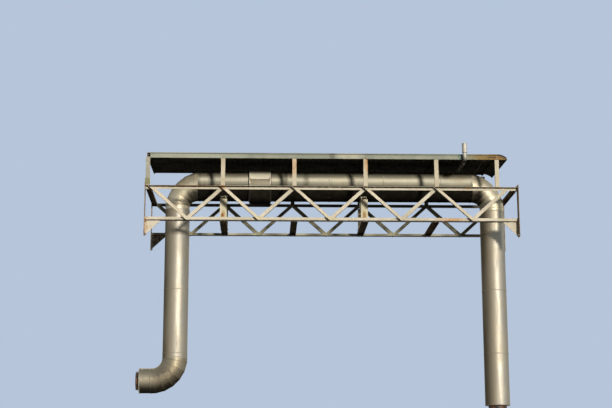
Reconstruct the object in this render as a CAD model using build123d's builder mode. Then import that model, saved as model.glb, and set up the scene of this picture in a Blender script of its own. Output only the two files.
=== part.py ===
from build123d import *
import math
import os

# An industrial pipe bridge: two angle-iron lattice trusses between two walls carry
# a clad pipe that rises at one wall, crosses under a light roof and drops at the other.
# Millimetres. X runs along the bridge from the left wall face, Y from the front truss
# to the rear one, Z up from the underside of the bottom chords.

# Bridge and trusses
panel_count = 5
panel_length = 1650
left_wall_to_first_node = 146
last_node_to_right_wall = 250
truss_spacing = 1920
truss_height = 805
chord_leg = 75
top_chord_flange = 75
bottom_chord_flange = 125
chord_thickness = 8
diagonal_leg = 80
diagonal_flange = 75
diagonal_thickness = 6
top_node_offset = 14
diagonal_end_clearance = 3

# Cross beams between the trusses
cross_beam_width = 150
cross_beam_depth = 65
end_beam_width = 120
end_beam_depth = 60
end_beam_to_wall = 20
beam_thickness = 7

# Wall plates and knee brackets
wall_plate_thickness = 12
wall_plate_width = 195
wall_plate_below = 360
wall_plate_above = 60
wall_plate_outboard = 95
wall_bolt_radius = 11
wall_bolt_edge = 35
knee_length = 345
knee_depth = 320
knee_thickness = 10
knee_clipped_corner = 30

# Roof posts, rafters and purlins
post_width = 95
post_depth = 50
post_thickness = 5
first_post_from_wall = 62
last_post_before_node = 237
rafter_underside = 1479
rafter_leg = 45
purlin_leg = 35
roof_angle_thickness = 5
roof_rear_rise = 64

# Fascia
fascia_bottom = 1459
fascia_to_sheet = 1
fascia_thickness = 4
fascia_start = 112
fascia_left_length = 4195

# Roof sheet and its curved end flashing
roof_past_last_post = 12
rib_pitch = 125
rib_height = 14
rib_top = 35
rib_side = 18
sheet_thickness = 3
sheet_front_overhang = 14
sheet_rear_overhang = 60
end_flashing_radius = 335

# Pipe
bore_radius = 200
carrier_wall = 12
carrier_projection = 80
riser_radius = 285
run_radius = 348.5
run_axis_height = 1010
left_riser_x = 700
right_riser_before_node = 216
upper_bend_riser_radius = 505
upper_bend_run_radius = 596
lower_bend_radius = 530
bend_gores = 6
reducing_gores = 3
lower_bend_top = -3065
stub_end_x = -100
riser_seams = (-2965, -1481, -102)
right_riser_depth = 4150
run_seam_shares = (0.0882, 0.2932, 0.5613, 0.8457)

# Valve cover
cover_start = 2396
cover_length = 504
cover_radius = 408.5
cover_split_above_axis = 96

# Pipe trestles
trestle_leg_width = 160
trestle_leg_depth = 65
trestle_inset = 420
trestle_foot_thickness = 8
trestle_foot_margin = 15
bearer_width = 100
bearer_depth = 50
saddle_thickness = 8
saddle_width = 160
saddle_half_angle = 38
cradle_thickness = 12
seat_clearance = 0.3

# Vent
vent_before_bend = 275
vent_radius = 40
vent_wall = 4
vent_bend_radius = 62
vent_to_sheet = 8
vent_below_fascia = 5
vent_outlet_radius = 57
vent_outlet_start = 1598
vent_top = 1820

# Places worked out from the sizes above
truss_length = panel_count * panel_length
bridge_length = left_wall_to_first_node + truss_length + last_node_to_right_wall
top_nodes = [left_wall_to_first_node + panel * panel_length for panel in range(panel_count + 1)]
bottom_nodes = [node + panel_length / 2 for node in top_nodes[:-1]]
chord_length = bridge_length - 2 * wall_plate_thickness
top_chord_middle = truss_height - chord_leg / 2
bottom_chord_middle = chord_leg / 2
mid_y = truss_spacing / 2
middle_plane = Plane.XZ.offset(-mid_y)
front_face_y = chord_thickness - top_chord_flange
rear_face_y = truss_spacing - front_face_y

parts_folder = "parts"
os.makedirs(parts_folder, exist_ok=True)


def save(part, name):
    """Label a finished piece and write it under its own name."""
    part.label = name
    export_step(part, f"{parts_folder}/{name}.step")


def rear_twin(part):
    """The same piece on the rear truss."""
    with BuildPart() as twin:
        mirror(part, about=middle_plane)
    return twin.part


def angle_section(plane, leg, flange, thickness):
    """An L with its heel at the plane's origin, leg along local Y, flange along local X."""
    with BuildSketch(plane) as section:
        with BuildLine():
            Polyline(
                (0, 0),
                (flange, 0),
                (flange, thickness),
                (thickness, thickness),
                (thickness, leg),
                (0, leg),
                close=True,
            )
        make_face()
    return section.sketch


def channel_section(plane, width, depth, thickness):
    """A C with its web centred on the plane's origin and its flanges along local Y."""
    half = width / 2
    with BuildSketch(plane) as section:
        with BuildLine():
            Polyline(
                (-half, 0),
                (half, 0),
                (half, depth),
                (half - thickness, depth),
                (half - thickness, thickness),
                (-half + thickness, thickness),
                (-half + thickness, depth),
                (-half, depth),
                close=True,
            )
        make_face()
    return section.sketch


# Chords: the top one has its flange outside on top, the bottom one inside below
with BuildPart() as top_chord:
    top_heel = Plane(
        (wall_plate_thickness, chord_thickness, truss_height), x_dir=(0, -1, 0), z_dir=(1, 0, 0)
    )
    extrude(
        angle_section(top_heel, chord_leg, top_chord_flange, chord_thickness),
        amount=chord_length,
    )
save(top_chord.part, "front_top_chord")
save(rear_twin(top_chord.part), "rear_top_chord")

with BuildPart() as bottom_chord:
    bottom_heel = Plane((wall_plate_thickness, 0, 0), x_dir=(0, 1, 0), z_dir=(1, 0, 0))
    extrude(
        angle_section(bottom_heel, chord_leg, bottom_chord_flange, chord_thickness),
        amount=chord_length,
    )
save(bottom_chord.part, "front_bottom_chord")
save(rear_twin(bottom_chord.part), "rear_bottom_chord")


def diagonal_section(foot_x, head_x, heel_y, outward):
    """The L of one diagonal and the length it runs, two legs' widths past both ends."""
    foot = Vector(foot_x, heel_y, bottom_chord_middle)
    head = Vector(head_x, heel_y, top_chord_middle)
    along = (head - foot).normalized()
    flange_direction = Vector(0, outward, 0)
    across = along.cross(flange_direction)
    heel = foot - along * 2 * diagonal_leg - across * (diagonal_leg / 2)
    plane = Plane(heel, x_dir=flange_direction, z_dir=along)
    section = angle_section(plane, diagonal_leg, diagonal_flange, diagonal_thickness)
    return section, (head - foot).length + 4 * diagonal_leg


# Diagonals: falling ones lap over the chords' faces, rising ones stand behind them
with BuildPart() as falling_diagonals:
    for head_node, foot_node in zip(top_nodes, bottom_nodes):
        falling, falling_length = diagonal_section(foot_node, head_node + top_node_offset, 0, -1)
        extrude(falling, amount=falling_length)
    split(
        bisect_by=Plane.XY.offset(truss_height - chord_thickness - diagonal_end_clearance),
        keep=Keep.BOTTOM,
    )
    split(bisect_by=Plane.XY.offset(diagonal_end_clearance), keep=Keep.TOP)
save(falling_diagonals.part, "front_falling_diagonals")
save(rear_twin(falling_diagonals.part), "rear_falling_diagonals")

with BuildPart() as rising_diagonals:
    for foot_node, head_node in zip(bottom_nodes, top_nodes[1:]):
        rising, rising_length = diagonal_section(
            foot_node, head_node - top_node_offset, chord_thickness, 1
        )
        extrude(rising, amount=rising_length)
    split(
        bisect_by=Plane.XY.offset(truss_height - chord_thickness - diagonal_end_clearance),
        keep=Keep.BOTTOM,
    )
    split(
        bisect_by=Plane.XY.offset(chord_thickness + diagonal_end_clearance), keep=Keep.TOP
    )
save(rising_diagonals.part, "front_rising_diagonals")
save(rear_twin(rising_diagonals.part), "rear_rising_diagonals")

# Channels between the trusses, web up: cross beams on the bottom chords' flanges,
# end beams between the top chords beside the walls
beam_length = truss_spacing - 2 * chord_thickness
cross_beam_top = chord_thickness + cross_beam_depth
end_beam_x = end_beam_to_wall + end_beam_width / 2
with BuildPart() as cross_beams:
    for node in top_nodes[1:-1]:
        beam_end = Plane((node, chord_thickness, cross_beam_top), x_dir=(1, 0, 0), z_dir=(0, 1, 0))
        extrude(
            channel_section(beam_end, cross_beam_width, cross_beam_depth, beam_thickness),
            amount=beam_length,
        )
save(cross_beams.part, "cross_beams")

with BuildPart() as end_beams:
    for beam_x in (end_beam_x, bridge_length - end_beam_x):
        beam_end = Plane(
            (beam_x, chord_thickness, truss_height - chord_thickness),
            x_dir=(1, 0, 0),
            z_dir=(0, 1, 0),
        )
        extrude(
            channel_section(beam_end, end_beam_width, end_beam_depth, beam_thickness),
            amount=beam_length,
        )
save(end_beams.part, "end_beams")

# Wall plates and the knee brackets under the bottom chords
wall_plate_height = wall_plate_below + truss_height + wall_plate_above
wall_plate_middle = (
    wall_plate_width / 2 - wall_plate_outboard,
    wall_plate_height / 2 - wall_plate_below,
)
for wall_x, wall_name in (
    (0, "left_wall_plates"),
    (bridge_length - wall_plate_thickness, "right_wall_plates"),
):
    with BuildPart() as wall_plates:
        with BuildSketch(Plane.YZ.offset(wall_x)):
            with Locations(wall_plate_middle):
                Rectangle(wall_plate_width, wall_plate_height)
                with GridLocations(
                    wall_plate_width - 2 * wall_bolt_edge,
                    wall_plate_height - 2 * wall_bolt_edge,
                    2,
                    2,
                ):
                    Circle(wall_bolt_radius, mode=Mode.SUBTRACT)
        extrude(amount=wall_plate_thickness)
        mirror(about=middle_plane)
    save(wall_plates.part, wall_name)

with BuildPart() as knee_brackets:
    knee_plane = Plane.XZ.offset(-(chord_leg + knee_thickness) / 2)
    with BuildSketch(knee_plane):
        with BuildLine():
            Polyline(
                (wall_plate_thickness, 0),
                (wall_plate_thickness + knee_length, 0),
                (wall_plate_thickness + knee_length, -knee_clipped_corner),
                (wall_plate_thickness + knee_clipped_corner, -knee_depth),
                (wall_plate_thickness, -knee_depth),
                close=True,
            )
        make_face()
    extrude(amount=knee_thickness)
    mirror(about=Plane.YZ.offset(bridge_length / 2))
    mirror(about=middle_plane)
save(knee_brackets.part, "knee_brackets")

# The roof's own frame: local X along the bridge, local Y up the slope to the rear
roof_width = rear_face_y - front_face_y
roof_tilt = math.atan(roof_rear_rise / roof_width)
slope = Vector(0, math.cos(roof_tilt), math.sin(roof_tilt))
roof_normal = Vector(0, -math.sin(roof_tilt), math.cos(roof_tilt))
slope_length = roof_width / math.cos(roof_tilt)
purlin_top = rafter_leg + purlin_leg
front_trim = purlin_top * math.tan(roof_tilt)
roof_origin = Vector(0, front_face_y, rafter_underside)
roof_underside = Plane(roof_origin, x_dir=(1, 0, 0), z_dir=roof_normal)
last_post_x = top_nodes[-1] - last_post_before_node
post_places = [first_post_from_wall, *top_nodes[1:-1], last_post_x]
roof_start = first_post_from_wall - rafter_leg / 2
roof_end = last_post_x + roof_past_last_post


def roof_point(along, up_slope, height):
    """A point in the roof's own frame."""
    return roof_origin + Vector(along, 0, 0) + slope * up_slope + roof_normal * height


# Posts: channels on the top chords' flanges with their webs outside; the rear has none
# at the left wall
for post_face_y, post_x_dir, places, post_name in (
    (front_face_y, (1, 0, 0), post_places, "front_roof_posts"),
    (rear_face_y, (-1, 0, 0), post_places[1:], "rear_roof_posts"),
):
    with BuildPart() as roof_posts:
        for post_x in places:
            post_foot = Plane((post_x, post_face_y, truss_height), x_dir=post_x_dir, z_dir=(0, 0, 1))
            extrude(
                channel_section(post_foot, post_width, post_depth, post_thickness),
                amount=rafter_underside + roof_rear_rise - truss_height,
            )
        split(bisect_by=roof_underside, keep=Keep.BOTTOM)
    save(roof_posts.part, post_name)

with BuildPart() as roof_rafters:
    for post_x in post_places:
        rafter_end = Plane(
            roof_point(post_x - rafter_leg / 2, front_trim, rafter_leg), x_dir=(1, 0, 0), z_dir=slope
        )
        extrude(
            angle_section(rafter_end, rafter_leg, rafter_leg, roof_angle_thickness),
            amount=slope_length - front_trim,
        )
save(roof_rafters.part, "roof_rafters")

with BuildPart() as roof_purlins:
    front_heel = Plane(roof_point(roof_end, front_trim, purlin_top), x_dir=slope, z_dir=(-1, 0, 0))
    rear_heel = Plane(
        roof_point(roof_start, slope_length, purlin_top), x_dir=-slope, z_dir=(1, 0, 0)
    )
    for heel in (front_heel, rear_heel):
        extrude(
            angle_section(heel, purlin_leg, purlin_leg, roof_angle_thickness),
            amount=roof_end - roof_start,
        )
save(roof_purlins.part, "roof_purlins")

# Ribbed sheet: ribs run up the slope, drawn as one folded line with a thickness
sheet_rear = slope_length + sheet_rear_overhang
sheet_front = -fascia_thickness - sheet_front_overhang
sheet_length = sheet_rear - sheet_front
rib_count = int((roof_end - roof_start) / rib_pitch)
rib_margin = (roof_end - roof_start - rib_count * rib_pitch) / 2
underside_points = [(roof_start, 0)]
for rib in range(rib_count):
    rib_middle = roof_start + rib_margin + (rib + 0.5) * rib_pitch
    underside_points += [
        (rib_middle - rib_top / 2 - rib_side, 0),
        (rib_middle - rib_top / 2, rib_height),
        (rib_middle + rib_top / 2, rib_height),
        (rib_middle + rib_top / 2 + rib_side, 0),
    ]
underside_points.append((roof_end, 0))
top_points = [(x, height + sheet_thickness) for x, height in reversed(underside_points)]
with BuildPart() as roof_sheet:
    sheet_plane = Plane(roof_point(0, sheet_rear, purlin_top), x_dir=(1, 0, 0), z_dir=-slope)
    with BuildSketch(sheet_plane):
        with BuildLine():
            Polyline(*underside_points, *top_points, close=True)
        make_face()
    extrude(amount=sheet_length)
save(roof_sheet.part, "roof_sheet")

# Curved flashing at the roof's right end, bent down to the fascia's lower edge
fascia_top = (
    rafter_underside
    + purlin_top / math.cos(roof_tilt)
    - fascia_thickness * math.tan(roof_tilt)
    - fascia_to_sheet
)
fascia_curve_radius = end_flashing_radius - sheet_thickness - fascia_to_sheet
flashing_turn = math.degrees(
    math.acos(1 - (fascia_top - fascia_bottom) / fascia_curve_radius)
)
with BuildPart() as roof_end_flashing:
    flashing_plane = Plane(
        roof_point(roof_end, sheet_rear, purlin_top + sheet_thickness),
        x_dir=(1, 0, 0),
        z_dir=-slope,
    )
    with BuildSketch(flashing_plane):
        with BuildLine():
            outside = JernArc((0, 0), (1, 0), end_flashing_radius, -flashing_turn)
            inside = JernArc(
                (0, -sheet_thickness), (1, 0), end_flashing_radius - sheet_thickness, -flashing_turn
            )
            Line(outside @ 0, inside @ 0)
            Line(outside @ 1, inside @ 1)
        make_face()
    extrude(amount=sheet_length)
save(roof_end_flashing.part, "roof_end_flashing")

# Fascia strips in front of the posts, the right one cut to the flashing's curve
fascia_plane = Plane.XZ.offset(-front_face_y)
fascia_joint_x = fascia_start + fascia_left_length
with BuildPart() as fascia_left:
    with BuildSketch(fascia_plane):
        with Locations((fascia_start, fascia_bottom)):
            Rectangle(
                fascia_left_length, fascia_top - fascia_bottom, align=(Align.MIN, Align.MIN)
            )
    extrude(amount=fascia_thickness)
save(fascia_left.part, "fascia_left")

with BuildPart() as fascia_right:
    with BuildSketch(fascia_plane):
        with BuildLine():
            Line((fascia_joint_x, fascia_bottom), (fascia_joint_x, fascia_top))
            Line((fascia_joint_x, fascia_top), (roof_end, fascia_top))
            fascia_curve = JernArc(
                (roof_end, fascia_top), (1, 0), fascia_curve_radius, -flashing_turn
            )
            Line(fascia_curve @ 1, (fascia_joint_x, fascia_bottom))
        make_face()
    extrude(amount=fascia_thickness)
save(fascia_right.part, "fascia_right")

# Pipe trestles: two channel legs, a bearer across their tops and a saddle under the pipe
bearer_top = run_axis_height - run_radius - seat_clearance - saddle_thickness
leg_foot = cross_beam_top + trestle_foot_thickness
trestle_places = top_nodes[1:-1:2]
with BuildPart() as trestle_legs:
    for place in trestle_places:
        with BuildSketch(Plane.XY.offset(cross_beam_top)):
            with Locations((place, trestle_inset + trestle_leg_depth / 2)):
                Rectangle(
                    trestle_leg_width + 2 * trestle_foot_margin,
                    trestle_leg_depth + 2 * trestle_foot_margin,
                )
        extrude(amount=trestle_foot_thickness)
        extrude(
            channel_section(
                Plane((place, trestle_inset, leg_foot)),
                trestle_leg_width,
                trestle_leg_depth,
                beam_thickness,
            ),
            amount=bearer_top - bearer_depth - leg_foot,
        )
    mirror(about=middle_plane)
save(trestle_legs.part, "trestle_legs")

bearer_start = trestle_inset - trestle_foot_margin
with BuildPart() as trestle_bearers:
    for place in trestle_places:
        bearer_end = Plane((place, bearer_start, bearer_top), x_dir=(1, 0, 0), z_dir=(0, 1, 0))
        extrude(
            channel_section(bearer_end, bearer_width, bearer_depth, beam_thickness),
            amount=truss_spacing - 2 * bearer_start,
        )
save(trestle_bearers.part, "trestle_bearers")

saddle_inside = run_radius + seat_clearance
saddle_outside = saddle_inside + saddle_thickness
saddle_reach = saddle_outside * math.sin(math.radians(saddle_half_angle))
cradle_height = saddle_outside * (1 - math.cos(math.radians(saddle_half_angle)))
pipe_middle = (mid_y, run_axis_height)
with BuildPart() as pipe_saddles:
    for place in trestle_places:
        with BuildSketch(Plane.YZ.offset(place - saddle_width / 2)):
            with BuildLine():
                saddle_from = -90 - saddle_half_angle
                under = CenterArc(pipe_middle, saddle_outside, saddle_from, 2 * saddle_half_angle)
                over = CenterArc(pipe_middle, saddle_inside, saddle_from, 2 * saddle_half_angle)
                Line(under @ 0, over @ 0)
                Line(under @ 1, over @ 1)
            make_face()
        extrude(amount=saddle_width)
        for cradle_x in (
            place - bearer_width / 2,
            place + bearer_width / 2 - cradle_thickness,
        ):
            with BuildSketch(Plane.YZ.offset(cradle_x)):
                with Locations((mid_y, bearer_top)):
                    Rectangle(
                        2 * saddle_reach, cradle_height, align=(Align.CENTER, Align.MIN)
                    )
                with Locations(pipe_middle):
                    Circle(saddle_outside, mode=Mode.SUBTRACT)
            extrude(amount=cradle_thickness)
save(pipe_saddles.part, "pipe_saddles")


def level_tube(start, end, radius):
    """A length of clad pipe along X on the run's axis."""
    with BuildPart() as tube:
        with BuildSketch(Plane.YZ.offset(start)):
            with Locations(pipe_middle):
                Circle(radius)
                Circle(bore_radius, mode=Mode.SUBTRACT)
        extrude(amount=end - start)
    return tube.part


def upright_tube(axis_x, bottom, top):
    """A length of clad riser along Z."""
    with BuildPart() as tube:
        with BuildSketch(Plane.XY.offset(bottom)):
            with Locations((axis_x, mid_y)):
                Circle(riser_radius)
                Circle(bore_radius, mode=Mode.SUBTRACT)
        extrude(amount=top - bottom)
    return tube.part


def gored_bend(centre_x, centre_z, start, turn, path_radii, pipe_radii):
    """A mitred bend: one flat-ended gore after another, the first ones reducing the pipe."""
    half_gore = turn / (2 * bend_gores)
    stations = [0] + [2 * gore + 1 for gore in range(bend_gores)] + [2 * bend_gores]

    def mitre(station, radii):
        """The ellipse in which two gores meet."""
        stretch = 1 if station in (0, 2 * bend_gores) else 1 / math.cos(math.radians(half_gore))
        angle = math.radians(start + station * half_gore)
        outward = Vector(math.cos(angle), 0, math.sin(angle))
        onward = Vector(-math.sin(angle), 0, math.cos(angle))
        turned = station / (2 * bend_gores)
        reduced = min(1, station / (2 * reducing_gores))
        path_radius = path_radii[0] + (path_radii[1] - path_radii[0]) * turned
        radius = radii[0] + (radii[1] - radii[0]) * reduced
        middle = Vector(centre_x, mid_y, centre_z) + outward * path_radius * stretch
        with BuildSketch(Plane(middle, x_dir=outward, z_dir=onward)) as section:
            Ellipse(radius * stretch, radius)
        return section.sketch

    with BuildPart() as bend:
        for radii, mode in ((pipe_radii, Mode.ADD), ((bore_radius, bore_radius), Mode.SUBTRACT)):
            for near, far in zip(stations, stations[1:]):
                loft([mitre(near, radii), mitre(far, radii)], ruled=True, mode=mode)
    return bend.part


# Clad pipe, left to right
right_riser_x = top_nodes[-1] - right_riser_before_node
upper_bend_z = run_axis_height - upper_bend_run_radius
left_bend_x = left_riser_x + upper_bend_riser_radius
right_bend_x = right_riser_x - upper_bend_riser_radius
lower_bend_x = left_riser_x - lower_bend_radius
stub_axis_z = lower_bend_top - lower_bend_radius

with BuildPart() as wall_stub:
    with BuildSketch(Plane.YZ.offset(stub_end_x)):
        with Locations((mid_y, stub_axis_z)):
            Circle(riser_radius)
            Circle(bore_radius, mode=Mode.SUBTRACT)
    extrude(amount=lower_bend_x - stub_end_x)
save(wall_stub.part, "wall_stub_jacket")

save(
    gored_bend(
        lower_bend_x,
        lower_bend_top,
        -90,
        90,
        (lower_bend_radius, lower_bend_radius),
        (riser_radius, riser_radius),
    ),
    "lower_elbow",
)

left_levels = (lower_bend_top, *riser_seams[1:], upper_bend_z)
for section, (bottom, top) in enumerate(zip(left_levels, left_levels[1:]), start=1):
    save(upright_tube(left_riser_x, bottom, top), f"left_riser_jacket_{section}")

save(
    gored_bend(
        left_bend_x,
        upper_bend_z,
        90,
        90,
        (upper_bend_run_radius, upper_bend_riser_radius),
        (run_radius, riser_radius),
    ),
    "upper_left_elbow",
)

cover_end = cover_start + cover_length
save(level_tube(left_bend_x, cover_start, run_radius), "run_jacket_1")
run_seams = [cover_end + share * (right_bend_x - cover_end) for share in run_seam_shares]
run_levels = (cover_end, *run_seams, right_bend_x)
for section, (start, end) in enumerate(zip(run_levels, run_levels[1:]), start=2):
    save(level_tube(start, end, run_radius), f"run_jacket_{section}")

save(
    gored_bend(
        right_bend_x,
        upper_bend_z,
        90,
        -90,
        (upper_bend_run_radius, upper_bend_riser_radius),
        (run_radius, riser_radius),
    ),
    "upper_right_elbow",
)

right_levels = (-right_riser_depth, *riser_seams, upper_bend_z)
for section, (bottom, top) in enumerate(zip(right_levels, right_levels[1:]), start=1):
    save(upright_tube(right_riser_x, bottom, top), f"right_riser_jacket_{section}")

# Bare ends of the carrier pipe, past the cladding
with BuildPart() as carrier_ends:
    with BuildSketch(Plane.YZ.offset(stub_end_x)):
        with Locations((mid_y, stub_axis_z)):
            Circle(bore_radius + carrier_wall)
            Circle(bore_radius, mode=Mode.SUBTRACT)
    extrude(amount=-carrier_projection)
    with BuildSketch(Plane.XY.offset(-right_riser_depth)):
        with Locations((right_riser_x, mid_y)):
            Circle(bore_radius + carrier_wall)
            Circle(bore_radius, mode=Mode.SUBTRACT)
    extrude(amount=-carrier_projection)
save(carrier_ends.part, "carrier_pipe_ends")

# Two-part cover round the valve, split a little above the pipe's axis
cover_split = Plane.XY.offset(run_axis_height + cover_split_above_axis)
for side, cover_name in ((Keep.TOP, "valve_cover_upper"), (Keep.BOTTOM, "valve_cover_lower")):
    with BuildPart() as valve_cover:
        add(level_tube(cover_start, cover_end, cover_radius))
        split(bisect_by=cover_split, keep=side)
    save(valve_cover.part, cover_name)

# Vent: out of the pipe's top, forward under the fascia and up in front of it
vent_x = right_bend_x - vent_before_bend
vent_level = fascia_bottom - vent_below_fascia - vent_radius
vent_y = front_face_y - fascia_thickness - sheet_front_overhang - vent_to_sheet - vent_outlet_radius
with BuildPart() as vent_pipe:
    with BuildLine() as vent_path:
        FilletPolyline(
            (vent_x, mid_y, run_axis_height),
            (vent_x, mid_y, vent_level),
            (vent_x, vent_y, vent_level),
            (vent_x, vent_y, vent_outlet_start),
            radius=vent_bend_radius,
        )
    with BuildSketch(Plane((vent_x, mid_y, run_axis_height))):
        Circle(vent_radius)
        Circle(vent_radius - vent_wall, mode=Mode.SUBTRACT)
    sweep(path=vent_path.wires()[0])
    with BuildSketch(Plane.YZ.offset(vent_x - run_radius)):
        with Locations(pipe_middle):
            Circle(run_radius + seat_clearance)
    extrude(amount=2 * run_radius, mode=Mode.SUBTRACT)
save(vent_pipe.part, "vent_pipe")

with BuildPart() as vent_outlet:
    with BuildSketch(Plane.XY.offset(vent_outlet_start)):
        with Locations((vent_x, vent_y)):
            Circle(vent_outlet_radius)
            Circle(vent_radius - vent_wall, mode=Mode.SUBTRACT)
    extrude(amount=vent_wall)
    with BuildSketch(Plane.XY.offset(vent_outlet_start + vent_wall)):
        with Locations((vent_x, vent_y)):
            Circle(vent_outlet_radius)
            Circle(vent_outlet_radius - vent_wall, mode=Mode.SUBTRACT)
    extrude(amount=vent_top - vent_outlet_start - vent_wall)
save(vent_outlet.part, "vent_outlet")
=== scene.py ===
"""Looks for the industrial pipe bridge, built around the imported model."""

import math
import random

import bpy
from mathutils import Matrix, Vector


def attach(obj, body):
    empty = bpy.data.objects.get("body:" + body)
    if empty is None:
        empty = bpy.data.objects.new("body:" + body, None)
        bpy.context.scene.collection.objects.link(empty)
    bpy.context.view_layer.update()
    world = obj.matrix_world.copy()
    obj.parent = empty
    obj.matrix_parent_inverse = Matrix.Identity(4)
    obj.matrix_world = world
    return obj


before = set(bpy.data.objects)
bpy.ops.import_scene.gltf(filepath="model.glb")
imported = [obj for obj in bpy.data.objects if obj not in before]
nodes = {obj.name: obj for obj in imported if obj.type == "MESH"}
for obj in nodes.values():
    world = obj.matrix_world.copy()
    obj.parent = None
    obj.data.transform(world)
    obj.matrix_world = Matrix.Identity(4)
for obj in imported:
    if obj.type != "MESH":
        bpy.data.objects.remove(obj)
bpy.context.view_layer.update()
scene = bpy.context.scene
random.seed(7)

# Sizes repeated from the part's source, in metres
TOP_NODES = [0.146 + 1.65 * i for i in range(6)]
BOTTOM_NODES = [x + 0.825 for x in TOP_NODES[:-1]]
BRIDGE = 8.646
SPACING = 1.92
MID_Y = 0.96
CHORD_THICKNESS = 0.008
FRONT_FACE = -0.067
REAR_FACE = 1.987
LOW_CHORD_MIDDLE = 0.0375
HIGH_CHORD_MIDDLE = 0.7675
DIAGONAL_LEG = 0.08
HEAD_OFFSET = 0.014
POSTS = [0.062, *TOP_NODES[1:-1], 8.159]
HALF_POST = 0.0475
TRESTLES = [TOP_NODES[1], TOP_NODES[3]]
LEG_Y = 0.42
RISER_R = 0.285
RUN_R = 0.3485
AXIS_Z = 1.01
LEFT_X = 0.7
RIGHT_X = 8.18
LEFT_BEND_X = 1.205
RIGHT_BEND_X = 7.675
UPPER_BEND_Z = 0.414
LOWER_BEND_X = 0.17
LOWER_BEND_TOP = -3.065
LOWER_PATH = (0.53, 0.53)
UPPER_PATH = (0.596, 0.505)
NARROWING = (RUN_R, RISER_R)
GORES = 6
REDUCING_GORES = 3
STUB_Z = -3.595
STUB_END = -0.1
RISER_END = -4.15
COVER = (2.396, 2.9)
COVER_R = 0.4085
COVER_SPLIT = 0.096
RUN_SEAMS = [3.321, 4.3, 5.58, 6.938]
RISER_SEAMS = [-2.965, -1.481, -0.102]
ROOF = (0.037, 8.171)
ROOF_TILT = math.atan2(0.064, REAR_FACE - FRONT_FACE)
ROOF_UNDER = 1.479
SHEET_ENDS = (-0.018, 2.115)
PURLIN_TOP = 0.08
RIB_PITCH = 0.125
RIB_HEIGHT = 0.014
SHEET = 0.003
FASCIA_X = (0.112, 8.39)
FASCIA_Z = (1.459, 1.5579)
FASCIA_CURVE = 0.331
FASCIA_Y = -0.071
FASCIA_JOINT = 4.307
VENT_X = 7.4
VENT_Y = -0.15
VENT_LEVEL = 1.414
VENT_R = 0.04
OUTLET_R = 0.057
OUTLET_TOP = 1.82

# Directions
X_AXIS = Vector((1, 0, 0))
Y_AXIS = Vector((0, 1, 0))
Z_AXIS = Vector((0, 0, 1))
TO_FRONT = Vector((0, -1, 0))
LEVEL_PLATE = (X_AXIS, Y_AXIS, Z_AXIS)
FRONT_PLATE = (X_AXIS, Z_AXIS, TO_FRONT)

# Tones that several materials share
METAL_TINT = (0.6, 0.52, 0.38, 1)
RUST_DARK = (0.085, 0.032, 0.014)
RUST_ORANGE = (0.42, 0.17, 0.055)
RUST_PALE = (0.5, 0.29, 0.13)
# Painted shade: the dark tone of painted parts' downward faces
UNDERSIDE_SHADE = (0.045, 0.036, 0.026)
# Painted shade: a dark line along the chords' edges, where their flanges shade them
EDGE_SHADE = (0.055, 0.044, 0.032)
# Painted shade: the near-black tone of the cladding's lower side, for its shade and dark
# reflections
SHADE_FILM_TONE = (0.009, 0.0075, 0.0055)
DRIP_STAIN = (0.15, 0.105, 0.06)
# Dark tone of real stains, also used for painted shadows and painted shade
DARK_STAIN_AND_SHADE = (0.1, 0.075, 0.045)
# Painted reflection: the brown of a dark wall, seen in the pipe's side that faces it
WALL_REFLECTION_TINT = (0.42, 0.325, 0.195)
# Painted shade: the dark tone that bands of the cladding darken toward, by the way they face
PAINTED_SHADE_METAL = (0.055, 0.049, 0.029)


def placed(name, data):
    """A new object in the scene."""
    made = bpy.data.objects.new(name, data)
    scene.collection.objects.link(made)
    return made


# Materials
class Nodes:
    """A node tree, with its nodes made in one line each."""

    def __init__(self, tree):
        self.tree = tree

    def node(self, kind, inputs=(), **settings):
        """A new node with its settings, and its inputs by number or name."""
        made = self.tree.nodes.new(kind)
        for key, value in settings.items():
            setattr(made, key, value)
        for key, value in dict(inputs).items():
            self.join(value, made.inputs[key])
        return made

    def join(self, value, socket):
        """A socket fed by another node, or set to a number or colour."""
        if isinstance(value, bpy.types.NodeSocket):
            self.tree.links.new(value, socket)
        else:
            socket.default_value = value

    def maths(self, operation, a, b):
        return self.node("ShaderNodeMath", {0: a, 1: b}, operation=operation).outputs[0]

    def seen_rays(self):
        """1 for rays of the camera, of gloss and through glass, 0 for those that carry light."""
        rays = self.node("ShaderNodeLightPath").outputs
        most = self.maths("MAXIMUM", rays["Is Camera Ray"], rays["Is Glossy Ray"])
        return self.maths("MAXIMUM", most, rays["Is Transmission Ray"])


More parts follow.
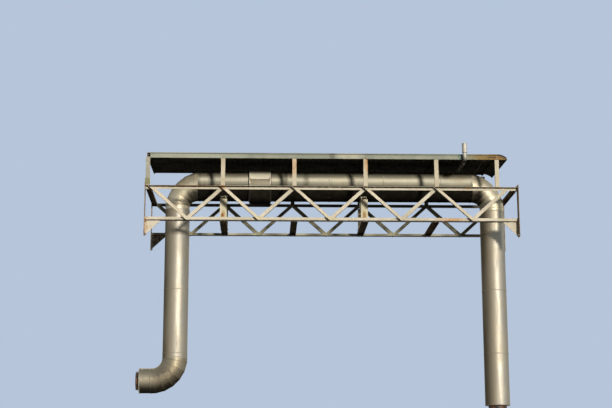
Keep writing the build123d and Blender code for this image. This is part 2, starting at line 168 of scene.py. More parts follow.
class Look(Nodes):
    """A procedural material put together on one shader."""

    def __init__(self, name, roughness=0.5, metallic=0.0, specular=0.5):
        self.material = bpy.data.materials.new(name)
        self.material.use_nodes = True
        super().__init__(self.material.node_tree)
        self.shader = self.tree.nodes["Principled BSDF"]
        self.put("Roughness", roughness)
        self.put("Metallic", metallic)
        self.put("Specular IOR Level", specular)
        if metallic:
            self.put("Specular Tint", METAL_TINT)
        self.place = self.node("ShaderNodeTexCoord").outputs["Object"]
        normal = self.node("ShaderNodeNewGeometry").outputs["True Normal"]
        self.nx, _, self.nz = self.node("ShaderNodeSeparateXYZ", {0: normal}).outputs

    def put(self, name, value):
        self.join(value, self.shader.inputs[name])

    def times(self, a, b):
        return self.maths("MULTIPLY", a, b)

    def plus(self, a, b):
        return self.maths("ADD", a, b)

    def vectors(self, operation, a, b, output="Vector"):
        made = self.node("ShaderNodeVectorMath", {0: a, 1: b}, operation=operation)
        return made.outputs[output]

    def noise(self, scale, detail, rough, stretch=(1, 1, 1), shift=(0, 0, 0), twist=0.0):
        spot = {"Vector": self.place, "Scale": stretch, "Location": shift}
        inputs = {
            "Vector": self.node("ShaderNodeMapping", spot).outputs[0],
            "Scale": scale, "Detail": detail, "Roughness": rough, "Distortion": twist,
        }
        return self.node("ShaderNodeTexNoise", inputs).outputs["Fac"]

    def step(self, value, low, high, top=1.0, bottom=0.0):
        """A smooth step from bottom to top while the value goes from low to high."""
        inputs = {
            "Value": value, "From Min": low, "From Max": high, "To Min": bottom, "To Max": top,
        }
        made = self.node("ShaderNodeMapRange", inputs, interpolation_type="SMOOTHSTEP")
        return made.outputs["Result"]

    def blend(self, share, a, b):
        """Two numbers mixed."""
        return self.step(share, 0.0, 1.0, bottom=a, top=b)

    def mix(self, share, a, b):
        """Two colours mixed: the share is input 0, the colours are inputs 6 and 7."""
        a, b = (c if isinstance(c, bpy.types.NodeSocket) else (*c, 1) for c in (a, b))
        return self.node("ShaderNodeMix", {0: share, 6: a, 7: b}, data_type="RGBA").outputs[2]

    def zone(self, centre, reach, strength):
        """The strength at a place on the bridge, 0 past its reach along each axis."""
        scaled = self.vectors("DIVIDE", self.vectors("SUBTRACT", self.place, centre), reach)
        length = self.node("ShaderNodeVectorMath", {0: scaled}, operation="LENGTH")
        return self.step(length.outputs["Value"], 0.35, 1.0, bottom=strength, top=0.0)

    def zones(self, places):
        total = None
        for place in places:
            one = self.zone(*place)
            total = one if total is None else self.maths("MAXIMUM", total, one)
        return total

    def washed(self, colour, washes, cloud):
        """The colour under clouded washes: each has its centre, reach, strength and tone."""
        for centre, reach, strength, tone in washes:
            share = self.times(self.zone(centre, reach, strength), cloud)
            colour = self.mix(share, colour, tone)
        return colour

    def edges(self, reach):
        """Near 1 along outside edges, from the normal of a rounded corner."""
        bevel = self.node("ShaderNodeBevel", {"Radius": reach}, samples=3).outputs[0]
        flat = self.node("ShaderNodeNewGeometry").outputs["Normal"]
        sameness = self.vectors("DOT_PRODUCT", bevel, flat, "Value")
        return self.step(sameness, 0.8, 0.995, bottom=1.0, top=0.0)

    def bump(self, height, strength, distance):
        """A bump on top of those put before it."""
        inputs = {"Height": height, "Strength": strength, "Distance": distance}
        before = self.shader.inputs["Normal"].links
        if before:
            inputs["Normal"] = before[0].from_socket
        self.put("Normal", self.node("ShaderNodeBump", inputs).outputs[0])


def weathered_paint(
    name, light, dark, rust_bias, places=(), washes=(), grime=(0.16, 0.13, 0.09),
    underside=0.9, specular=0.08,
):
    """Old paint: chalky patches, grime streaks, washes of stain and painted shade, painted shade on
    downward faces, rust at edges, in spots and in places.
    """
    look = Look(name, roughness=0.6, specular=specular)
    patches = look.step(look.noise(2.3, 5, 0.6, shift=(3, 1, 2)), 0.35, 0.68)
    colour = look.mix(patches, light, dark)
    fine = look.step(look.noise(55, 4, 0.6), 0.4, 0.75, top=0.35)
    colour = look.mix(fine, colour, dark)
    streaks = look.noise(1.0, 5, 0.65, stretch=(38, 38, 2.6))
    colour = look.mix(look.step(streaks, 0.52, 0.78, top=0.45), colour, grime)
    cloud = look.step(look.noise(13, 5, 0.6, shift=(6, 6, 6)), 0.25, 0.6, bottom=0.35)
    colour = look.washed(colour, washes, cloud)
    # Painted shade on downward faces
    under = look.step(look.nz, -0.75, -0.3, bottom=underside, top=0.0)
    colour = look.mix(under, colour, UNDERSIDE_SHADE)
    blotch = look.times(look.noise(7.5, 8, 0.68, shift=(0.4, 0.2, 0.7)), 0.72)
    freckle = look.times(look.noise(48, 5, 0.6, shift=(5, 3, 1)), 0.28)
    spread = look.plus(blotch, freckle)
    if places:
        spread = look.plus(spread, look.times(look.zones(places), 0.24))
    edge = look.times(look.edges(0.006), look.step(look.noise(11, 4, 0.6), 0.38, 0.62))
    spread = look.plus(look.plus(spread, look.times(edge, 0.17)), rust_bias)
    bleed = look.step(spread, 0.52, 0.66)
    core = look.step(spread, 0.6, 0.7)
    tint = look.mix(look.step(look.noise(30, 5, 0.65), 0.35, 0.65), RUST_ORANGE, RUST_DARK)
    colour = look.mix(look.times(bleed, 0.6), colour, RUST_PALE)
    look.put("Base Color", look.mix(look.times(core, 0.93), colour, tint))
    look.put("Roughness", look.blend(core, 0.55, 0.88))
    look.bump(look.times(core, look.noise(170, 5, 0.7)), 0.5, 0.003)
    look.bump(look.noise(95, 3, 0.5), 0.12, 0.002)
    return look.material


def cladding(
    name, warm, cool, rough, shade_film=(), dents=0.3, crinkle=0.0,
    stretch=(1, 1, 1), stains=(), painted_shades=(), metal=0.74, specular=0.0, wall_reflection=0.0,
):
    """Satin aluminium sheet: rolled streaks, soft dents, stains, painted shade by slope, painted
    shade below.
    """
    look = Look(name, roughness=rough, metallic=metal, specular=specular)
    patches = look.step(look.noise(1.7, 4, 0.55, shift=(2, 7, 4)), 0.34, 0.68)
    colour = look.mix(patches, warm, cool)
    fine = look.step(look.noise(26, 5, 0.65, stretch=stretch), 0.45, 0.78, top=0.3)
    colour = look.mix(fine, colour, tuple(c * 0.55 for c in warm))
    drips = look.noise(1.0, 6, 0.7, stretch=(24, 24, 1.6))
    colour = look.mix(look.step(drips, 0.54, 0.8, top=0.45), colour, DRIP_STAIN)
    cloud = look.step(look.noise(16, 5, 0.6, shift=(3, 8, 2)), 0.3, 0.6, bottom=0.45)
    colour = look.washed(colour, stains, cloud)
    # Painted shade by slope: each band darkens the surface between two heights of its normal
    for low, high, at_low, at_high in painted_shades:
        shade = look.step(look.nz, low, high, bottom=at_low, top=at_high)
        colour = look.mix(shade, colour, PAINTED_SHADE_METAL)
    # Painted reflection of a dark wall on the side facing -X: a brown tint, then patchy painted
    # shade
    if wall_reflection:
        tint = look.step(look.nx, -0.6, 0.15, bottom=0.75, top=0.0)
        colour = look.mix(tint, colour, WALL_REFLECTION_TINT)
        wall_shade = look.step(look.nx, -1.0, -0.25, bottom=wall_reflection, top=0.0)
        drift = look.noise(2.2, 4, 0.5, stretch=(1, 1, 0.3))
        drift = look.step(drift, 0.25, 0.65, bottom=0.65)
        colour = look.mix(look.times(wall_shade, drift), colour, DARK_STAIN_AND_SHADE)
    wear = look.noise(9, 6, 0.6, stretch=stretch)
    wear = look.step(wear, 0.3, 0.75, bottom=rough - 0.06, top=rough + 0.09)
    # Painted shade below: the lower side turns near black, loses its metal sheen and grows rougher
    if shade_film:
        strength, low, high = shade_film
        shade_share = look.step(look.nz, low, high, bottom=strength, top=0.0)
        shade_share = look.times(shade_share, look.step(look.noise(5, 6, 0.6), 0.1, 0.6, bottom=0.92))
        colour = look.mix(shade_share, colour, SHADE_FILM_TONE)
        look.put("Metallic", look.times(look.maths("SUBTRACT", 1.0, shade_share), metal))
        wear = look.plus(wear, look.times(shade_share, 0.25))
    look.put("Base Color", colour)
    look.put("Roughness", wear)
    look.bump(look.noise(2.6, 3, 0.5), dents, 0.03)
    look.bump(look.noise(70, 3, 0.6, stretch=stretch), 0.1, 0.001)
    if crinkle:
        look.bump(look.noise(15, 4, 0.6, twist=0.8), crinkle, 0.014)
    return look.material


# Paint of the trusses: rusty places by centre, reach and strength, washes with a tone too, some of
# them painted shade
frame_places = [
    ((0.85, -0.05, 0.8), (1.2, 0.06, 0.03), 0.8),
    ((1.8, -0.02, 0.775), (0.13, 0.2, 0.07), 0.9),
    ((7.45, -0.02, 0.775), (0.16, 0.2, 0.06), 0.7),
    ((7.08, 0.0, 0.045), (0.32, 0.2, 0.06), 0.65),
    ((3.446, -0.07, 1.3), (0.1, 0.1, 0.16), 0.5),
    ((5.14, -0.07, 1.42), (0.06, 0.1, 0.14), 0.6),
    ((0.02, -0.03, 0.0), (0.1, 0.2, 0.4), 0.7),
]
frame_washes = [
    ((0.95, FRONT_FACE, 0.801), (1.3, 0.035, 0.016), 0.95, (0.24, 0.165, 0.1)),
    ((5.1, FRONT_FACE, 0.801), (3.6, 0.035, 0.016), 0.75, (0.36, 0.31, 0.23)),
    ((3.44, -0.06, 1.28), (0.1, 0.1, 0.34), 0.6, (0.66, 0.41, 0.22)),
    ((5.13, -0.06, 1.34), (0.075, 0.1, 0.28), 0.9, (0.64, 0.36, 0.15)),
    ((7.08, 0.0, 0.04), (0.4, 0.1, 0.08), 0.8, (0.66, 0.36, 0.16)),
    # Painted shade along the bottom chord's lower edge, and painted shadow of the top chord's
    # flange on its leg
    ((4.3, 0.0, 0.0), (16.0, 0.1, 0.022), 0.95, EDGE_SHADE),
    ((4.3, 0.0, 0.79), (16.0, 0.04, 0.024), 0.95, EDGE_SHADE),
    ((2.6, 0.0, 0.04), (0.2, 0.1, 0.09), 0.5, (0.64, 0.54, 0.27)),
    ((4.3, 0.0, 0.04), (0.2, 0.1, 0.09), 0.5, (0.6, 0.52, 0.26)),
    # Painted shade on the left front post beside the wall
    ((0.03, -0.06, 1.2), (0.16, 0.12, 0.6), 0.75, (0.3, 0.31, 0.26)),
    ((0.0, MID_Y, 0.45), (0.5, 1.1, 0.6), 0.6, (0.2, 0.155, 0.11)),
    # Painted shade on the rear left knee bracket
    ((0.15, SPACING, -0.1), (0.6, 0.25, 0.6), 1.0, (0.09, 0.068, 0.048)),
]
frame_paint = weathered_paint(
    "frame_paint", (0.77, 0.69, 0.535), (0.6, 0.525, 0.375), -0.045, frame_places, frame_washes
)
post_paint = weathered_paint(
    "post_paint", (0.69, 0.61, 0.445), (0.55, 0.47, 0.325), -0.035, frame_places, frame_washes
)
# Painted shade: the rear truss in a much darker copy of the front truss's paint
rear_shaded_paint = weathered_paint(
    "rear_frame_shaded_paint", (0.27, 0.25, 0.165), (0.13, 0.115, 0.078), -0.03,
    # Painted light: a lighter tone at the feet of the diagonals, where sun reaches below the pipe's
    # shadow
    washes=[
        ((x, SPACING, 0.06), (0.34, 0.3, 0.24), 0.65, (0.42, 0.39, 0.24)) for x in BOTTOM_NODES
    ],
    grime=(0.06, 0.048, 0.034),
)
# Painted shade: the rear top chord in near black, in the shade of the pipe and roof
rear_top_shaded_paint = weathered_paint(
    "rear_top_shaded_paint", (0.11, 0.1, 0.07), (0.06, 0.052, 0.036), -0.03,
    grime=(0.04, 0.032, 0.022), specular=0.02,
)
# Painted shade: the rear bottom chord in a darker copy of the truss paint
rear_chord_shaded_paint = weathered_paint(
    "rear_chord_shaded_paint", (0.5, 0.47, 0.33), (0.27, 0.25, 0.17), -0.03,
    # Painted shade along its lower edge
    washes=[((4.3, SPACING, 0.0), (16.0, 0.2, 0.026), 0.95, EDGE_SHADE)],
    grime=(0.1, 0.085, 0.055),
)
plate_paint = weathered_paint(
    "wall_plate_paint", (0.42, 0.36, 0.26), (0.23, 0.17, 0.115), 0.03,
    [
        ((0.006, 0.0, -0.28), (0.05, 0.4, 0.14), 0.9),
        ((0.006, 0.0, 0.83), (0.05, 0.4, 0.1), 0.8),
    ],
)
beam_paint = weathered_paint(
    "beam_paint", (0.2, 0.165, 0.11), (0.095, 0.07, 0.045), 0.0,
    grime=(0.05, 0.036, 0.024), underside=0.1, specular=0.0,
)
# Painted shade: rafters and purlins in near black, as in the shade under the roof
roof_frame_shaded_paint = weathered_paint(
    "roof_frame_shaded_paint", (0.06, 0.052, 0.038), (0.03, 0.024, 0.018), -0.02,
    grime=(0.02, 0.016, 0.012), specular=0.0,
)
trestle_washes = []
for place in TRESTLES:
    trestle_washes += [
        ((place, LEG_Y, 0.608), (0.4, 0.3, 0.016), 0.8, (0.12, 0.11, 0.06)),
        ((place, LEG_Y, 0.2), (0.07, 0.3, 0.19), 0.85, (0.42, 0.26, 0.08)),
        # Painted shade on the rear legs
        ((place, SPACING - LEG_Y, 0.33), (0.4, 0.3, 0.6), 1.0, (0.045, 0.035, 0.02)),
    ]
trestle_paint = weathered_paint(
    "trestle_paint", (0.79, 0.71, 0.5), (0.6, 0.54, 0.36), -0.04,
    [((place - 0.02, LEG_Y, 0.17), (0.05, 0.3, 0.17), 0.75) for place in TRESTLES],
    trestle_washes,
)
fascia_paint = weathered_paint(
    "fascia_paint", (0.385, 0.39, 0.295), (0.29, 0.305, 0.235), -0.1,
    [((8.33, FASCIA_Y, 1.52), (0.3, 0.1, 0.1), 0.3)],
    [
        ((1.1, FASCIA_Y, 1.515), (1.6, 0.1, 0.12), 0.7, (0.47, 0.475, 0.36)),
        # Painted shade along the top, under the sheet's overhang
        ((4.2, FASCIA_Y, 1.566), (4.6, 0.1, 0.06), 0.55, (0.22, 0.23, 0.18)),
        ((3.55, FASCIA_Y, 1.53), (0.75, 0.1, 0.14), 0.45, (0.27, 0.285, 0.22)),
        ((4.33, FASCIA_Y, 1.53), (0.1, 0.1, 0.14), 0.75, (0.13, 0.12, 0.09)),
        ((4.74, FASCIA_Y, 1.52), (0.46, 0.1, 0.1), 0.65, (0.62, 0.58, 0.43)),
        ((7.32, FASCIA_Y, 1.53), (0.1, 0.1, 0.16), 0.95, (0.12, 0.2, 0.155)),
        ((8.1, FASCIA_Y, 1.53), (0.85, 0.1, 0.34), 0.95, (0.27, 0.175, 0.045)),
        ((8.3, FASCIA_Y, 1.53), (0.5, 0.1, 0.22), 0.85, (0.25, 0.125, 0.022)),
    ],
    underside=0.6,
)

# Cladding of the pipe
run_cladding = cladding(
    "run_cladding", (0.9, 0.81, 0.575), (0.82, 0.755, 0.58), 0.5,
    shade_film=(0.99, -0.36, 0.12), stretch=(0.15, 1, 1),
    stains=[
        ((3.26, MID_Y, AXIS_Z), (0.07, 0.8, 0.8), 0.75, DARK_STAIN_AND_SHADE),
        ((3.74, MID_Y, AXIS_Z), (0.11, 0.8, 0.8), 0.65, DARK_STAIN_AND_SHADE),
        ((1.22, MID_Y, AXIS_Z), (0.05, 0.8, 0.8), 0.45, DARK_STAIN_AND_SHADE),
        # Painted shadow of the vent on the top of the pipe
        ((7.05, MID_Y, AXIS_Z + 0.25), (0.22, 0.5, 0.3), 0.5, DARK_STAIN_AND_SHADE),
        ((7.38, MID_Y - 0.25, AXIS_Z + 0.22), (0.42, 0.4, 0.26), 0.45, (0.4, 0.3, 0.15)),
    ],
    # Painted shade: a darker band low on the front and a darker top
    painted_shades=[(0.06, 0.34, 0.74, 0.0), (0.3, 0.61, 0.0, 0.7)],
    metal=0.45,
)
riser_cladding = cladding(
    "riser_cladding", (0.42, 0.37, 0.275), (0.39, 0.355, 0.285), 0.55,
    stretch=(1, 1, 0.12), specular=0.15, wall_reflection=0.9,
    # Painted shadow of the bottom chord on the riser just below it
    stains=[((LEFT_X, MID_Y - 0.3, -0.14), (0.5, 0.4, 0.1), 0.5, DARK_STAIN_AND_SHADE)],
)
elbow_cladding = cladding(
    "elbow_cladding", (0.62, 0.535, 0.36), (0.55, 0.485, 0.35), 0.5,
    shade_film=(0.93, -0.62, -0.02), crinkle=0.4, metal=0.55,
    stains=[
        # Painted shadow of the top chord across the upper left elbow
        ((LEFT_X, MID_Y - 0.3, 0.53), (0.6, 0.5, 0.05), 0.7, DARK_STAIN_AND_SHADE),
        ((7.95, MID_Y - 0.3, 1.0), (0.5, 0.6, 0.45), 0.15, DARK_STAIN_AND_SHADE),
    ],
)
lower_elbow_cladding = cladding(
    "lower_elbow_cladding", (0.34, 0.28, 0.18), (0.3, 0.26, 0.185), 0.53,
    shade_film=(0.93, -0.75, -0.1), crinkle=0.3,
    stains=[((0.56, MID_Y - 0.3, -3.56), (0.5, 0.6, 0.36), 0.62, DARK_STAIN_AND_SHADE)],
)
cover_cladding = cladding(
    "cover_cladding", (0.96, 0.88, 0.64), (0.86, 0.8, 0.61), 0.54,
    shade_film=(0.97, -0.24, 0.1), stretch=(0.2, 1, 1), metal=0.42,
    # Painted shade: a darker top
    painted_shades=[(0.44, 0.7, 0.0, 0.55)],
)
# Painted shade: the cover's lower half in a much darker copy of the upper half's cladding
cover_lower_shaded_cladding = cladding(
    "cover_lower_shaded_cladding", (0.29, 0.258, 0.176), (0.26, 0.238, 0.17), 0.54,
    shade_film=(0.97, -0.42, -0.04), stretch=(0.2, 1, 1), metal=0.42,
)
vent_metal = cladding(
    "vent_metal", (0.61, 0.56, 0.47), (0.49, 0.44, 0.37), 0.58,
    dents=0.15, stretch=(1, 1, 0.3), metal=0.3,
    # Painted shade: the vent's lower part near black, as in the shade under the roof
    stains=[((VENT_X, 0.0, 1.3), (0.6, 2.0, 0.25), 1.0, (0.014, 0.012, 0.008))],
)


def roof_look():
    """Dull ribbed sheet with grime runs and rust spots on top, painted near-black shade below."""
    look = Look("roof_metal", roughness=0.5, metallic=0.5, specular=0.0)
    patches = look.step(look.noise(1.4, 5, 0.6), 0.35, 0.68)
    top = look.mix(patches, (0.3, 0.31, 0.29), (0.2, 0.205, 0.19))
    runs = look.noise(1.0, 6, 0.7, stretch=(30, 1.4, 30))
    top = look.mix(look.step(runs, 0.5, 0.75, top=0.55), top, (0.13, 0.1, 0.07))
    rust = look.step(look.noise(8, 7, 0.7, stretch=(1, 0.5, 1)), 0.6, 0.72)
    top = look.mix(look.times(rust, 0.8), top, RUST_ORANGE)
    # Painted shade: near-black tones below, where the sheet also loses its metal sheen
    patches = look.step(look.noise(3, 5, 0.6), 0.35, 0.7)
    low = look.mix(patches, (0.06, 0.058, 0.048), (0.028, 0.026, 0.02))
    below = look.step(look.nz, -0.3, 0.1, bottom=1.0, top=0.0)
    look.put("Base Color", look.mix(below, top, low))
    bare = look.blend(rust, 0.25, 0.0)
    look.put("Metallic", look.times(look.maths("SUBTRACT", 1.0, below), bare))
    look.put("Roughness", look.blend(rust, 0.68, 0.9))
    look.bump(look.noise(60, 4, 0.6), 0.15, 0.002)
    look.bump(look.noise(4, 3, 0.5), 0.15, 0.02)
    return look.material


def dark_steel(name, light, dark, rust_share=0.6):
    look = Look(name, roughness=0.6, specular=0.4)
    colour = look.mix(look.step(look.noise(20, 6, 0.65), 0.35, 0.68), light, dark)
    rust = look.step(look.noise(13, 7, 0.7, shift=(1, 2, 3)), 0.5, 0.64)
    look.put("Base Color", look.mix(look.times(rust, rust_share), colour, RUST_ORANGE))
    look.put("Roughness", look.blend(rust, 0.5, 0.9))
    look.bump(look.noise(120, 4, 0.7), 0.35, 0.002)
    return look.material


def plated(name, light, dark, rough):
    """Plated steel of small fasteners, with rust spots."""
    look = Look(name, roughness=rough, metallic=1.0)
    colour = look.mix(look.step(look.noise(90, 4, 0.6), 0.35, 0.65), light, dark)
    rust = look.step(look.noise(31, 6, 0.7), 0.5, 0.62)
    look.put("Base Color", look.mix(look.times(rust, 0.7), colour, RUST_ORANGE))
    look.put("Metallic", look.blend(rust, 1.0, 0.1))
    look.put("Roughness", look.blend(rust, rough, 0.9))
    look.bump(look.noise(260, 3, 0.6), 0.3, 0.001)
    return look.material


roof_metal = roof_look()
carrier_steel = dark_steel("carrier_steel", (0.05, 0.034, 0.024), (0.028, 0.02, 0.016))
cap_paint = dark_steel("cap_paint", (0.075, 0.06, 0.042), (0.04, 0.033, 0.026), 0.45)
rubber = dark_steel("seal_rubber", (0.03, 0.028, 0.025), (0.018, 0.017, 0.016), 0.0)
dark_bolt_metal = dark_steel("dark_bolt_metal", (0.07, 0.035, 0.016), (0.035, 0.02, 0.012), 0.35)
gasket = dark_steel("gasket", (0.085, 0.03, 0.02), (0.05, 0.022, 0.016), 0.2)
bolt_metal = plated("bolt_metal", (0.46, 0.42, 0.36), (0.28, 0.24, 0.2), 0.45)
latch_metal = plated("latch_metal", (0.3, 0.16, 0.1), (0.2, 0.1, 0.06), 0.55)
weld_metal = weathered_paint("weld_paint", (0.66, 0.56, 0.4), (0.42, 0.32, 0.21), 0.03)
# Painted shade: the rear truss's welds in a darker copy of the weld paint
rear_weld_shaded_metal = weathered_paint("rear_weld_shaded_paint", (0.24, 0.2, 0.13), (0.13, 0.095, 0.06), 0.03)
cleat_paint = weathered_paint("cleat_paint", (0.42, 0.41, 0.2), (0.27, 0.26, 0.13), -0.01)

finishes = [
    (post_paint, "front_roof_posts"),
    (beam_paint, "cross_beams", "end_beams"),
    (plate_paint, "left_wall_plates", "right_wall_plates"),
    (trestle_paint, "trestle_legs", "trestle_bearers", "pipe_saddles"),
    (roof_metal, "roof_sheet", "roof_end_flashing"),
    (roof_frame_shaded_paint, "roof_rafters", "roof_purlins"),
    (rear_top_shaded_paint, "rear_top_chord"),
    (rear_chord_shaded_paint, "rear_bottom_chord"),
    (rear_shaded_paint, "rear_falling_diagonals", "rear_rising_diagonals", "rear_roof_posts"),
    (fascia_paint, "fascia_left", "fascia_right"),
    (lower_elbow_cladding, "wall_stub_jacket", "lower_elbow"),
    (elbow_cladding, "upper_left_elbow", "upper_right_elbow"),
    (riser_cladding, *(name for name in nodes if "riser_jacket" in name)),
    (run_cladding, *(name for name in nodes if "run_jacket" in name)),
    (cover_cladding, "valve_cover_upper"),
    (cover_lower_shaded_cladding, "valve_cover_lower"),
    (carrier_steel, "carrier_pipe_ends"),
    (vent_metal, "vent_pipe", "vent_outlet"),
]
finish_of = {name: finish for finish, *names in finishes for name in names}
for name, node in nodes.items():
    node.data.materials.clear()
    node.data.materials.append(finish_of.get(name, frame_paint))


# Mesh helpers
class Shape:
    """Vertices and faces gathered from many small forms."""

    def __init__(self):
        self.points = []
        self.faces = []

    def rows(self, rows, closed=False):
        """A skin over rings of points, its ends capped, or joined to each other when closed."""
        start, width, count = len(self.points), len(rows[0]), len(rows)
        self.points += [tuple(point) for row in rows for point in row]
        faces = []
        for r in range(count if closed else count - 1):
            near, far = r * width, (r + 1) % count * width
            for c in range(width):
                c2 = (c + 1) % width
                faces.append((near + c, near + c2, far + c2, far + c))
        if not closed:
            faces.append(range(width - 1, -1, -1))
            faces.append(range((count - 1) * width, count * width))
        self.faces += [tuple(start + i for i in face) for face in faces]

    def piece(self, name, material, smooth=30.0):
        mesh = bpy.data.meshes.new(name)
        mesh.from_pydata(self.points, [], self.faces)
        mesh.update()
        obj = placed(name, mesh)
        mesh.materials.append(material)
        mesh.shade_smooth()
        mesh.set_sharp_from_angle(angle=math.radians(smooth))
        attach(obj, "root")


def frame_of(direction):
    """This direction and two more, square to it and to each other."""
    along = Vector(direction).normalized()
    helper = Z_AXIS if abs(along.z) < 0.9 else X_AXIS
    side = along.cross(helper).normalized()
    return along, side, along.cross(side).normalized()


def fan(u, v, angle):
    """The direction at an angle from u towards v."""
    return u * math.cos(angle) + v * math.sin(angle)


def full_turn(count, start=0.0):
    """Angles spread evenly round a circle."""
    return [2 * math.pi * (k + start) / count for k in range(count)]


def turned(shape, origin, direction, profile, segments):
    """A profile of (distance along, radius) turned round an axis."""
    along, u, v = frame_of(direction)
    origin = Vector(origin)
    shape.rows([
        [origin + along * s + fan(u, v, a) * r for a in full_turn(segments)] for s, r in profile
    ])


def ring(shape, points, outs, along, profile):
    """A closed profile of (along, out) carried round a closed line of points."""
    rows = [
        [point + along * s + out * h for s, h in profile] for point, out in zip(points, outs)
    ]
    shape.rows(rows, closed=True)


def round_band(shape, centre, direction, radius, profile, segments=72):
    """A ring with a profile of (along, out) round a pipe."""
    along, u, v = frame_of(direction)
    centre = Vector(centre)
    outs = [fan(u, v, a) for a in full_turn(segments)]
    ring(shape, [centre + out * radius for out in outs], outs, along, profile)


def bolt(shape, place, direction, across, head, washer, shank=0.0):
    """A hexagon head with a chamfer on a washer, and the thread's end past a nut."""
    along, u, v = frame_of(direction)
    place = Vector(place)
    spin = random.uniform(0, math.pi / 3)
    turned(shape, place, along, [(-0.0005, washer), (0.0024, washer), (0.003, washer - 0.0008)], 20)
    base = 0.0028
    corner = across / math.sqrt(3)
    shape.rows([
        [place + along * s + fan(u, v, spin + k * math.pi / 3) * r for k in range(6)]
        for s, r in ((base, corner), (base + head * 0.82, corner), (base + head, corner * 0.86))
    ])
    if shank:
        tip = base + head
        thread = across * 0.3
        turned(
            shape, place, along,
            [(tip - 0.001, thread), (tip + shank - 0.003, thread), (tip + shank, across * 0.22)],
            14,
        )


def dome(shape, place, direction, radius=0.006):
    """A pop rivet's low head."""
    height = 0.003
    turned(
        shape, place, direction,
        [
            (-0.0006, radius), (height * 0.35, radius * 0.96),
            (height * 0.8, radius * 0.62), (height, radius * 0.22),
        ],
        10,
    )


def weld(shape, start, end, radius=0.0045, ripple=0.006):
    """A rippled bead of weld between two points."""
    start, end = Vector(start), Vector(end)
    along, u, v = frame_of(end - start)
    count = max(4, int((end - start).length / ripple) * 2)
    rows = []
    for i in range(count + 1):
        t = i / count
        swell = radius * (0.86 + 0.14 * (i % 2)) * random.uniform(0.92, 1.08)
        taper = min(1.0, 0.45 + 8 * min(t, 1 - t))
        middle = start + (end - start) * t
        rows.append([middle + fan(u, v, k * math.pi / 3) * swell * taper for k in range(6)])
    shape.rows(rows)


SLAB_CORNERS = (
    (-1, -1, 0), (-1, -1, 1), (1, -1, 1), (1, -1, 0),
    (1, 1, 0), (1, 1, 1), (-1, 1, 1), (-1, 1, 0),
)


def slab(shape, centre, size, axes, chamfer):
    """A small plate with its edges chamfered."""
    centre = Vector(centre)
    x, y, z = axes
    a, b, c = (s / 2 for s in size)
    k = min(chamfer, a * 0.45, b * 0.45, c * 0.45)
    rows = []
    for depth, inset in ((-c, k), (-c + k, 0), (c - k, 0), (c, k)):
        row = []
        for side_x, side_y, cut in SLAB_CORNERS:
            px = side_x * (a - inset - (k if cut else 0))
            py = side_y * (b - inset - (0 if cut else k))
            row.append(centre + x * px + y * py + z * depth)
        rows.append(row)
    shape.rows(rows)


def on_truss(x, y, z, rear):
    """A point given on the front truss, or its twin on the rear one."""
    return Vector((x, SPACING - y if rear else y, z))


def truss_welds(shape, lines, rear):
    """Welds with their ends, and their radius where it isn't the usual one."""
    for start, end, *radius in lines:
        weld(shape, on_truss(*start, rear), on_truss(*end, rear), *radius)


def pair(middle, half):
    return middle - half, middle + half


# Seams of the cladding: a swaged bead over a flat lap, with rivets on the lap
LAP = [
    (-0.026, -0.002), (-0.026, 0.0016), (-0.01, 0.002), (-0.006, 0.005), (0.0, 0.0066),
    (0.006, 0.005), (0.01, 0.002), (0.024, 0.0016), (0.024, -0.002),
]
LAP_RISE = 0.0016
SEAM_INSET = 0.004
RIVET_BACK = 0.017
RIVET_TURN = 0.3
RUN_RIVETS = 14
RISER_RIVETS = 12
run_bands = Shape()
run_rivets = Shape()
for seam in RUN_SEAMS + [LEFT_BEND_X + SEAM_INSET, RIGHT_BEND_X - SEAM_INSET]:
    round_band(run_bands, (seam, MID_Y, AXIS_Z), X_AXIS, RUN_R, LAP)
    for a in full_turn(RUN_RIVETS, RIVET_TURN):
        out = fan(Y_AXIS, Z_AXIS, a)
        place = Vector((seam - RIVET_BACK, MID_Y, AXIS_Z)) + out * (RUN_R + LAP_RISE)
        dome(run_rivets, place, out)
run_bands.piece("run_seam_bands", run_cladding)

riser_bands = Shape()
riser_rivets = Shape()
for riser_x, lowest in ((LEFT_X, [LOWER_BEND_TOP + SEAM_INSET]), (RIGHT_X, [])):
    for seam in RISER_SEAMS + lowest + [UPPER_BEND_Z - SEAM_INSET]:
        round_band(riser_bands, (riser_x, MID_Y, seam), Z_AXIS, RISER_R, LAP)
        for a in full_turn(RISER_RIVETS, RIVET_TURN):
            out = fan(X_AXIS, Y_AXIS, a)
            place = Vector((riser_x, MID_Y, seam - RIVET_BACK)) + out * (RISER_R + LAP_RISE)
            dome(riser_rivets, place, out)
riser_bands.piece("riser_seam_bands", riser_cladding)
stub_band = Shape()
round_band(stub_band, (LOWER_BEND_X - SEAM_INSET, MID_Y, STUB_Z), X_AXIS, RISER_R, LAP)
stub_band.piece("stub_seam_band", lower_elbow_cladding)

SIDE_LAP_RISE = 0.0022
SIDE_LAP_MARGIN = 0.03
SIDE_LAP_STEPS = 6


def side_lap(shape, rivets, start, end, centre, radius, angle_from, angle_to, axis):
    """The lengthwise lap of a rolled sheet: a thin curved strip with a row of rivets."""
    along, u, v = frame_of(axis)
    centre = Vector(centre)
    start += SIDE_LAP_MARGIN
    end -= SIDE_LAP_MARGIN
    there = range(SIDE_LAP_STEPS + 1)
    rows = []
    for s in (start, end):
        row = []
        for lift, order in ((SIDE_LAP_RISE, there), (-0.001, reversed(there))):
            for i in order:
                a = math.radians(angle_from + (angle_to - angle_from) * i / SIDE_LAP_STEPS)
                row.append(centre + along * s + fan(u, v, a) * (radius + lift))
        rows.append(row)
    shape.rows(rows)
    out = fan(u, v, math.radians((angle_from + angle_to) / 2))
    length = end - start
    count = max(2, int(length / 0.15))
    for i in range(count + 1):
        s = start + SIDE_LAP_MARGIN + (length - 2 * SIDE_LAP_MARGIN) * i / count
        dome(rivets, centre + along * s + out * (radius + SIDE_LAP_RISE), out)


